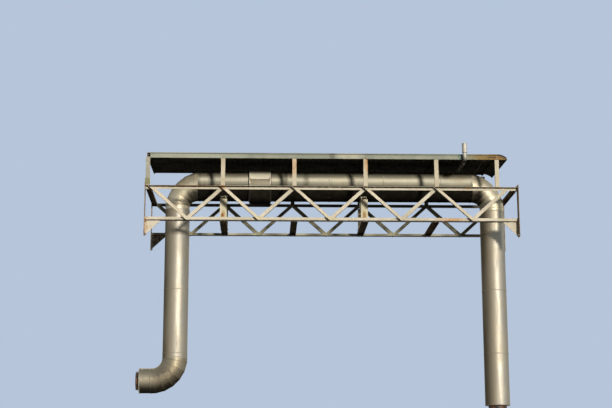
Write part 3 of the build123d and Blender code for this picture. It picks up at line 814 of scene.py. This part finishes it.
RUN_LAP_ANGLES = (136, 128)
RISER_LAP_ANGLES = (274, 262)
run_laps = Shape()
run_edges = [LEFT_BEND_X, *COVER, *RUN_SEAMS, RIGHT_BEND_X]
for number, (start, end) in enumerate(zip(run_edges, run_edges[1:])):
    if start == COVER[0]:
        continue
    side = RUN_LAP_ANGLES[number % 2]
    side_lap(run_laps, run_rivets, start, end, (0, MID_Y, AXIS_Z), RUN_R, side, side + 5, X_AXIS)
run_laps.piece("run_side_laps", run_cladding)
riser_laps = Shape()
for riser_x, lowest in ((LEFT_X, LOWER_BEND_TOP), (RIGHT_X, RISER_END)):
    centre = (riser_x, MID_Y, 0)
    levels = [lowest, *RISER_SEAMS, UPPER_BEND_Z]
    for number, (start, end) in enumerate(zip(levels, levels[1:])):
        if end - start < 0.3:
            continue
        side = RISER_LAP_ANGLES[number % 2]
        side_lap(riser_laps, riser_rivets, start, end, centre, RISER_R, side, side + 6, Z_AXIS)
riser_laps.piece("riser_side_laps", riser_cladding)


def bend_sections(centre_x, centre_z, turn, start=90, path_radii=UPPER_PATH, pipe_radii=NARROWING):
    """Middle, outward and onward direction, stretch and radius of each mitre of a gored bend."""
    half_gore = turn / (2 * GORES)
    sections = []
    for station in (0, *range(1, 2 * GORES, 2), 2 * GORES):
        stretch = 1 if station in (0, 2 * GORES) else 1 / math.cos(math.radians(half_gore))
        angle = math.radians(start + station * half_gore)
        outward = fan(X_AXIS, Z_AXIS, angle)
        onward = fan(Z_AXIS, -X_AXIS, angle)
        path = path_radii[0] + (path_radii[1] - path_radii[0]) * station / (2 * GORES)
        share = min(1, station / (2 * REDUCING_GORES))
        radius = pipe_radii[0] + (pipe_radii[1] - pipe_radii[0]) * share
        middle = Vector((centre_x, MID_Y, centre_z)) + outward * path * stretch
        sections.append((middle, outward, onward, stretch, radius))
    return sections


# Lips and rivets of the elbows' gores
GORE_LIP = [
    (-0.006, -0.003), (-0.005, 0.0016), (-0.002, 0.0034),
    (0.002, 0.0034), (0.005, 0.0016), (0.006, -0.003),
]
gore_lips = Shape()
lower_lips = Shape()
gore_rivets = Shape()
lower_bend = (LOWER_BEND_X, LOWER_BEND_TOP, 90, -90, LOWER_PATH, (RISER_R, RISER_R))
for lips, bend in (
    (lower_lips, lower_bend),
    (gore_lips, (LEFT_BEND_X, UPPER_BEND_Z, 90)),
    (gore_lips, (RIGHT_BEND_X, UPPER_BEND_Z, -90)),
):
    sections = bend_sections(*bend)
    for middle, outward, onward, stretch, radius in sections[1:-1]:
        points, outs = [], []
        for a in full_turn(64):
            sideways = Vector((0, radius * math.sin(a), 0))
            points.append(middle + (outward * (radius * stretch * math.cos(a)) + sideways))
            outs.append(fan(outward, Y_AXIS, a).normalized())
        ring(lips, points, outs, onward, GORE_LIP)
    for near, far in zip(sections, sections[1:]):
        middle = (near[0] + far[0]) / 2
        half_width = (near[-1] + far[-1]) / 2
        for side in (-1, 1):
            place = middle + Vector((0, side * (half_width - 0.0005), 0))
            dome(gore_rivets, place, (0, side, 0), 0.005)
gore_lips.piece("elbow_gore_lips", elbow_cladding, smooth=50)
lower_lips.piece("lower_elbow_gore_lips", lower_elbow_cladding, smooth=50)

run_rivets.piece("run_rivets", run_cladding)
riser_rivets.piece("riser_rivets", riser_cladding)
gore_rivets.piece("elbow_rivets", elbow_cladding)

# Rolled rims of the cladding at the pipe's open ends
RIM = [
    (-0.012, -0.003), (-0.012, 0.003), (-0.004, 0.0065),
    (0.004, 0.0065), (0.01, 0.003), (0.01, -0.003),
]
RIM_INSET = 0.006
end_rims = Shape()
round_band(end_rims, (STUB_END + RIM_INSET, MID_Y, STUB_Z), X_AXIS, RISER_R, RIM)
round_band(end_rims, (RIGHT_X, MID_Y, RISER_END + RIM_INSET), Z_AXIS, RISER_R, RIM)
end_rims.piece("cladding_end_rims", riser_cladding)

# Valve cover: end collars, seals, lapped joint flanges and toggle latches
COLLAR = [
    (-0.012, -0.004), (-0.012, 0.0035), (-0.007, 0.0075), (0.0, 0.009),
    (0.007, 0.0075), (0.012, 0.003), (0.012, -0.004),
]
SEAL = [(-0.012, -0.002), (-0.01, 0.012), (-0.004, 0.022), (0.006, 0.024), (0.008, -0.002)]
cover_rims = Shape()
cover_seals = Shape()
for rim_x, way in ((COVER[0], 1), (COVER[1], -1)):
    round_band(cover_rims, (rim_x + way * 0.012, MID_Y, AXIS_Z), X_AXIS, COVER_R, COLLAR)
    round_band(cover_seals, (rim_x - way * 0.008, MID_Y, AXIS_Z), X_AXIS, RUN_R, SEAL)
cover_rims.piece("cover_rims", cover_cladding)
cover_seals.piece("cover_seals", rubber)
cover_joint = Shape()
cover_gasket = Shape()
cover_latches = Shape()
split_angle = math.asin(COVER_SPLIT / COVER_R)
cover_middle = (COVER[0] + COVER[1]) / 2
for side in (-1, 1):
    out = fan(Y_AXIS * side, Z_AXIS, split_angle)
    up = fan(Z_AXIS, Y_AXIS * -side, split_angle)
    axes = (X_AXIS, up, out)
    lip = Vector((cover_middle, MID_Y, AXIS_Z)) + out * (COVER_R + 0.004)
    slab(cover_joint, lip + up * 0.0065, (0.478, 0.01, 0.0105), axes, 0.0025)
    slab(cover_joint, lip - up * 0.0085, (0.478, 0.01, 0.0075), axes, 0.002)
    slab(cover_gasket, lip - up * 0.0015, (0.474, 0.013, 0.0125), axes, 0.001)
    for share in (0.06, 0.94):
        latch = Vector((COVER[0] + share * (COVER[1] - COVER[0]), MID_Y, AXIS_Z))
        foot = latch + out * (COVER_R + 0.0005) - up * 0.042
        catch = latch + out * (COVER_R + 0.001) + up * 0.03
        slab(cover_latches, foot, (0.026, 0.04, 0.005), axes, 0.0015)
        slab(cover_latches, foot + out * 0.008, (0.018, 0.05, 0.006), axes, 0.002)
        slab(cover_latches, catch, (0.022, 0.022, 0.007), axes, 0.002)
        for leg in (-0.007, 0.007):
            wire_foot = foot + X_AXIS * leg + out * 0.012 + up * 0.02
            wire_head = catch + X_AXIS * leg + out * 0.008
            weld(cover_latches, wire_foot, wire_head, 0.0022, 0.05)
        for height in (-0.018, 0.018):
            dome(cover_latches, foot + up * height - X_AXIS * 0.011 + out * 0.0025, out, 0.004)
cover_joint.piece("cover_joint_flanges", cover_cladding)
cover_gasket.piece("cover_gasket", gasket)
cover_latches.piece("cover_latches", latch_metal)

# Welds of the trusses: diagonals, posts, wall plates, knee brackets and beams
CHORD_LINE = 0.8055
frame_welds = Shape()
rear_welds = Shape()
falling = [(foot, head + HEAD_OFFSET, 0.0, 0.004) for head, foot in zip(TOP_NODES, BOTTOM_NODES)]
rising = [
    (foot, head - HEAD_OFFSET, CHORD_THICKNESS, 0.012)
    for foot, head in zip(BOTTOM_NODES, TOP_NODES[1:])
]
for foot_x, head_x, heel, lowest in falling + rising:
    foot = Vector((foot_x, heel, LOW_CHORD_MIDDLE))
    head = Vector((head_x, heel, HIGH_CHORD_MIDDLE))
    along = (head - foot).normalized()
    across = along.cross(Vector((0, -1 if heel == 0.0 else 1, 0))).normalized()
    for edge in (-DIAGONAL_LEG / 2, DIAGONAL_LEG / 2):
        for levels in ((lowest, 0.075), (0.73, 0.793)):
            start, end = (
                foot + across * edge + along * ((level - foot.z - across.z * edge) / along.z)
                for level in levels
            )
            weld(frame_welds, start, end)
            weld(rear_welds, on_truss(*start, True), on_truss(*end, True))
for rear, welds in ((False, frame_welds), (True, rear_welds)):
    lines = []
    for post_x in POSTS[1:] if rear else POSTS:
        for x in pair(post_x, HALF_POST):
            lines.append(((x, FRONT_FACE + 0.002, CHORD_LINE), (x, -0.018, CHORD_LINE)))
        ends = [(x, FRONT_FACE + 0.0005, 0.806) for x in pair(post_x, 0.046)]
        lines.append((*ends, 0.0035))
    for wall_x, way in ((0.0125, 1), (BRIDGE - 0.0125, -1)):
        lines.append(((wall_x, FRONT_FACE + 0.002, CHORD_LINE), (wall_x, 0.008, CHORD_LINE), 0.005))
        for face, low, high in (
            (0.0, 0.731, 0.796), (0.008, 0.731, 0.8), (0.0, 0.002, 0.074), (0.008, 0.01, 0.074),
        ):
            lines.append(((wall_x, face, low), (wall_x, face, high), 0.005))
        for face in (0.0325, 0.0425):
            lines.append(((wall_x, face, -0.318), (wall_x, face, -0.002), 0.005))
            tip = wall_x + way * 0.344
            lines.append(((wall_x, face, -0.001), (tip, face, -0.001)))
    for beam_x in TOP_NODES[1:-1]:
        for x in pair(beam_x, 0.075):
            lines.append(((x, 0.01, 0.0085), (x, 0.074, 0.0085)))
            lines.append(((x, 0.0085, 0.01), (x, 0.0085, 0.072)))
        lines.append([(x, 0.0085, 0.0735) for x in pair(beam_x, 0.07)])
    for beam_x in (0.08, BRIDGE - 0.08):
        for x in pair(beam_x, 0.06):
            lines.append(((x, 0.0085, 0.738), (x, 0.0085, 0.796)))
    truss_welds(welds, lines, rear)
frame_welds.piece("frame_welds", weld_metal, smooth=60)
rear_welds.piece("rear_frame_welds", rear_weld_shaded_metal, smooth=60)

trestle_welds = Shape()
for place in TRESTLES:
    for rear in (False, True):
        lines = [(*((x, 0.419, 0.0815) for x in pair(place, 0.079)), 0.005)]
        for x in pair(place, 0.0805):
            lines.append(((x, 0.421, 0.0815), (x, 0.484, 0.0815), 0.005))
        lines.append([(x, 0.419, 0.602) for x in pair(place, 0.049)])
        for x in pair(place, 0.05):
            lines.append(((x, 0.76, 0.6535), (x, 0.93, 0.6535)))
        truss_welds(trestle_welds, lines, rear)
        for x in pair(place, 0.087):
            bolt(trestle_welds, on_truss(x, 0.4125, 0.081, rear), Z_AXIS, 0.012, 0.007, 0.0068)
trestle_welds.piece("trestle_welds", weld_metal, smooth=60)

# Anchor bolts in the wall plates, with nuts and thread ends
anchors = Shape()
for wall_x, way in ((0.012, 1), (BRIDGE - 0.012, -1)):
    for y in (-0.06, 0.065, SPACING + 0.06, SPACING - 0.065):
        for z in (-0.325, 0.83):
            bolt(anchors, (wall_x, y, z), (way, 0, 0), 0.03, 0.016, 0.021, shank=0.022)
anchors.piece("anchor_bolts", bolt_metal)

# Bolts under the cross beams and at the rafters' seats
frame_bolts = Shape()
for rear in (False, True):
    for beam_x in TOP_NODES[1:-1]:
        for x in pair(beam_x, 0.042):
            place = on_truss(x, 0.048, 0.0, rear)
            bolt(frame_bolts, place, (0, 0, -1), 0.024, 0.013, 0.016)
    seat_y, outward = (REAR_FACE + 0.0005, Y_AXIS) if rear else (FASCIA_Y, TO_FRONT)
    for post_x in POSTS[1:] if rear else POSTS:
        for level in (1.486, 1.525):
            bolt(frame_bolts, (post_x, seat_y, level), outward, 0.013, 0.007, 0.011)
frame_bolts.piece("frame_bolts", weld_metal)

# Plate with two bolts in front of the left post
cleat = Shape()
slab(cleat, (POSTS[0], FRONT_FACE - 0.0045, 0.9), (0.118, 0.15, 0.008), FRONT_PLATE, 0.003)
cleat.piece("left_post_cleat", cleat_paint)
cleat_bolts = Shape()
for level in (0.862, 0.938):
    place = (POSTS[0], FRONT_FACE - 0.0085, level)
    bolt(cleat_bolts, place, TO_FRONT, 0.024, 0.013, 0.017, shank=0.012)
cleat_bolts.piece("cleat_bolts", bolt_metal)

# Roof: screws, side laps, front edge, right end cap
roof_up = fan(Z_AXIS, TO_FRONT, ROOF_TILT)
roof_slope = fan(Y_AXIS, Z_AXIS, ROOF_TILT)


def roof_at(x, up_slope, height):
    """A point by its place along the bridge, up the roof's slope and above the rafters' foot."""
    return Vector((x, FRONT_FACE, ROOF_UNDER)) + roof_slope * up_slope + roof_up * height


RIB_LAP = [
    (-0.0385, 0.0), (-0.0185, RIB_HEIGHT), (0.0185, RIB_HEIGHT), (0.042, -0.001), (0.058, -0.001),
    (0.058, 0.0015), (0.043, 0.0015), (0.0195, RIB_HEIGHT + 0.0022),
    (-0.0195, RIB_HEIGHT + 0.0022), (-0.0405, 0.0),
]
rib_count = int((ROOF[1] - ROOF[0]) / RIB_PITCH)
rib_margin = (ROOF[1] - ROOF[0] - rib_count * RIB_PITCH) / 2
sheet_top = PURLIN_TOP + SHEET
SCREW = (0.009, 0.005, 0.01)
roof_screws = Shape()
roof_laps = Shape()
for rib in range(rib_count):
    middle = ROOF[0] + rib_margin + (rib + 0.5) * RIB_PITCH
    if rib % 2 == 0:
        for line in (0.03, 1.03, 2.028):
            bolt(roof_screws, roof_at(middle, line, sheet_top + RIB_HEIGHT), roof_up, *SCREW)
    if rib % 8 == 5:
        roof_laps.rows([
            [roof_at(middle + x, line, sheet_top + height) for x, height in RIB_LAP]
            for line in (SHEET_ENDS[0] + 0.0005, SHEET_ENDS[1] - 0.0005)
        ])
roof_screws.piece("roof_screws", bolt_metal)
roof_laps.piece("roof_side_laps", roof_metal, smooth=20)

eave_top = sheet_top + RIB_HEIGHT + 0.003
eave_low = PURLIN_TOP + 0.001
EAVE = [
    (eave_low, 0.0), (eave_top - 0.001, 0.0), (eave_top, 0.001), (eave_top, 0.034),
    (eave_top - 0.002, 0.034), (eave_top - 0.002, 0.003), (eave_low, 0.003),
]
eave = Shape()
eave.rows([
    [roof_at(x, SHEET_ENDS[0] - 0.004 + depth, height) for height, depth in EAVE] for x in ROOF
])
eave.piece("roof_eave_closure", fascia_paint, smooth=20)

CAP_CURVE = 0.335
CAP_BEND_X = 8.175
cap_low = sheet_top + 0.001
cap_high = sheet_top + RIB_HEIGHT + 0.002
cap_line = [(7.955, cap_low), (7.975, cap_high), (CAP_BEND_X, cap_high)]
for degrees in range(5, 45, 5):
    a = math.radians(degrees)
    drop = CAP_CURVE * (1 - math.cos(a))
    cap_line.append((CAP_BEND_X + CAP_CURVE * math.sin(a), cap_high - drop))
end_cap = Shape()
end_cap.rows([
    [roof_at(x, line, height + lift) for x, height in cap_line]
    + [roof_at(x, line, height) for x, height in reversed(cap_line)]
    for line, lift in (
        (SHEET_ENDS[0] - 0.0005, 0.002), (SHEET_ENDS[0] + 0.001, 0.004),
        (SHEET_ENDS[1] - 0.001, 0.004), (SHEET_ENDS[1] + 0.0005, 0.002),
    )
])
end_cap.piece("roof_end_cap", cap_paint, smooth=35)
cap_screws = Shape()
for line in (0.03, 0.43, 0.83, 1.23, 1.63, 2.03):
    bolt(cap_screws, roof_at(8.02, line, cap_high + 0.004), roof_up, *SCREW)
cap_screws.piece("cap_screws", bolt_metal)

# Fascia: drip fold along the lower edge, joint plate, rivets, bolts round the curved end
fascia_length = FASCIA_X[1] - FASCIA_X[0]
fascia_height = FASCIA_Z[1] - FASCIA_Z[0]
fascia_trim = Shape()
drip_fold = ((FASCIA_X[0] + FASCIA_X[1]) / 2, FASCIA_Y + 0.004, FASCIA_Z[0] - 0.003)
slab(fascia_trim, drip_fold, (fascia_length, 0.018, 0.006), LEVEL_PLATE, 0.002)
joint_plate = (FASCIA_JOINT + 0.02, FASCIA_Y - 0.0012, (FASCIA_Z[0] + FASCIA_Z[1]) / 2)
slab(fascia_trim, joint_plate, (0.11, fascia_height - 0.005, 0.0022), FRONT_PLATE, 0.0008)
fascia_trim.piece("fascia_trim", fascia_paint)
fascia_rivets = Shape()
for x in (4.285, 4.325, 4.365):
    for z in (1.478, 1.54):
        dome(fascia_rivets, (x, FASCIA_Y - 0.002, z), TO_FRONT)
for k in range(8):
    dome(fascia_rivets, (0.62 + k, FASCIA_Y, 1.538), TO_FRONT)
fascia_rivets.piece("fascia_fixings", bolt_metal)
end_bolts = Shape()
for k in range(6):
    bolt(end_bolts, (7.965 + 0.036 * k, FASCIA_Y, 1.512), TO_FRONT, 0.018, 0.008, 0.016)
for degrees in (16, 28, 38):
    a = math.radians(degrees)
    reach = FASCIA_CURVE - 0.028
    level = FASCIA_Z[1] - FASCIA_CURVE + reach * math.cos(a)
    spot = (ROOF[1] + reach * math.sin(a), FASCIA_Y, level)
    bolt(end_bolts, spot, TO_FRONT, 0.014, 0.006, 0.013)
end_bolts.piece("fascia_end_bolts", dark_bolt_metal)

# Vent: collar at the pipe, clamps, rolled rim and neck of the outlet
VENT_COLLAR = [
    (0.0, 0.07), (0.005, 0.068), (0.009, 0.052), (0.013, 0.044), (0.03, 0.0418), (0.031, VENT_R),
]
VENT_CLAMP = [(-0.011, -0.001), (-0.011, 0.0024), (0.011, 0.0024), (0.011, -0.001)]
OUTLET_RIM = [
    (-0.005, -0.001), (-0.005, 0.0025), (0.0, 0.0042),
    (0.0045, 0.002), (0.0045, -0.0035), (0.0, -0.0042),
]
OUTLET_NECK = [(-0.003, -0.003), (-0.003, 0.002), (0.006, 0.003), (0.01, -0.001)]
vent_trim = Shape()
turned(vent_trim, (VENT_X, MID_Y, AXIS_Z + RUN_R - 0.004), Z_AXIS, VENT_COLLAR, 40)
for y in (0.12, 0.7):
    round_band(vent_trim, (VENT_X, y, VENT_LEVEL), Y_AXIS, VENT_R, VENT_CLAMP, 32)
for z, radius, profile, segments in (
    (1.52, VENT_R, VENT_CLAMP, 32),
    (OUTLET_TOP - 0.005, OUTLET_R, OUTLET_RIM, 40),
    (1.6, OUTLET_R, OUTLET_NECK, 40),
):
    round_band(vent_trim, (VENT_X, VENT_Y, z), Z_AXIS, radius, profile, segments)
vent_trim.piece("vent_trim", vent_metal)

# Camera at the photograph's place and angle
CAMERA_PLACE = (2.7506, -30.1352, -6.2454)
CAMERA_TURN = (1.832, 12.412, -0.083)
yaw, pitch, roll = (math.radians(a) for a in CAMERA_TURN)
forward = Vector(
    (math.sin(yaw) * math.cos(pitch), math.cos(yaw) * math.cos(pitch), math.sin(pitch))
)
level = Vector((math.cos(yaw), -math.sin(yaw), 0))
upright = level.cross(forward)
right = level * math.cos(roll) + upright * math.sin(roll)
up = upright * math.cos(roll) - level * math.sin(roll)
camera_data = bpy.data.cameras.new("camera")
camera_data.sensor_width = 36.0
camera_data.lens = 78.68
camera_data.clip_end = 600.0
camera = placed("camera", camera_data)
camera.matrix_world = Matrix(
    [(right[i], up[i], -forward[i], CAMERA_PLACE[i]) for i in range(3)] + [(0, 0, 0, 1)]
)
scene.camera = camera


# Light: one soft key from the front right, a weak one from behind, a pale surround
def sun(name, azimuth, elevation, strength, softness, colour):
    data = bpy.data.lights.new(name, "SUN")
    data.energy = strength
    data.angle = math.radians(softness)
    data.color = colour
    lamp = placed(name, data)
    a, e = math.radians(azimuth), math.radians(elevation)
    towards = Vector((math.sin(a) * math.cos(e), -math.cos(a) * math.cos(e), math.sin(e)))
    lamp.rotation_euler = towards.to_track_quat("Z", "Y").to_euler()


sun("key", 23, 12.0, 3.1, 7.5, (1.0, 0.97, 0.92))
sun("back_fill", 192, 30, 1.0, 30.0, (0.94, 0.97, 1.0))

SKY_LIT = {"Color": (0.93, 0.96, 1.0, 1), "Strength": 0.1}
SKY_SEEN = {"Color": (0.468, 0.558, 0.694, 1), "Strength": 1.0}
scene.world = bpy.data.worlds.new("surround")
scene.world.use_nodes = True
sky = Nodes(scene.world.node_tree)
sky.tree.nodes.clear()
lit, seen = (sky.node("ShaderNodeBackground", look).outputs[0] for look in (SKY_LIT, SKY_SEEN))
blend = sky.node("ShaderNodeMixShader", {0: sky.seen_rays(), 1: lit, 2: seen})
sky.node("ShaderNodeOutputWorld", {0: blend.outputs[0]})

FLOOR_REACH = 200
FLOOR_LEVEL = -8.6
FLOOR_LIT = (0.25, 0.25, 0.24)
FLOOR_SEEN = (0.8, 0.81, 0.82)
floor_mesh = bpy.data.meshes.new("floor")
near, far = -FLOOR_REACH, FLOOR_REACH
corners = [(x, y, FLOOR_LEVEL) for x, y in ((near, near), (far, near), (far, far), (near, far))]
floor_mesh.from_pydata(corners, [], [(0, 1, 2, 3)])
floor = placed("floor", floor_mesh)
floor_look = Look("floor_plain", roughness=0.9, specular=0.1)
shown = floor_look.seen_rays()
floor_look.put("Base Color", floor_look.mix(shown, FLOOR_LIT, FLOOR_SEEN))
floor_look.put("Emission Color", (*FLOOR_SEEN, 1))
floor_look.put("Emission Strength", floor_look.times(shown, 0.3))
floor_mesh.materials.append(floor_look.material)

scene.view_settings.view_transform = "Standard"
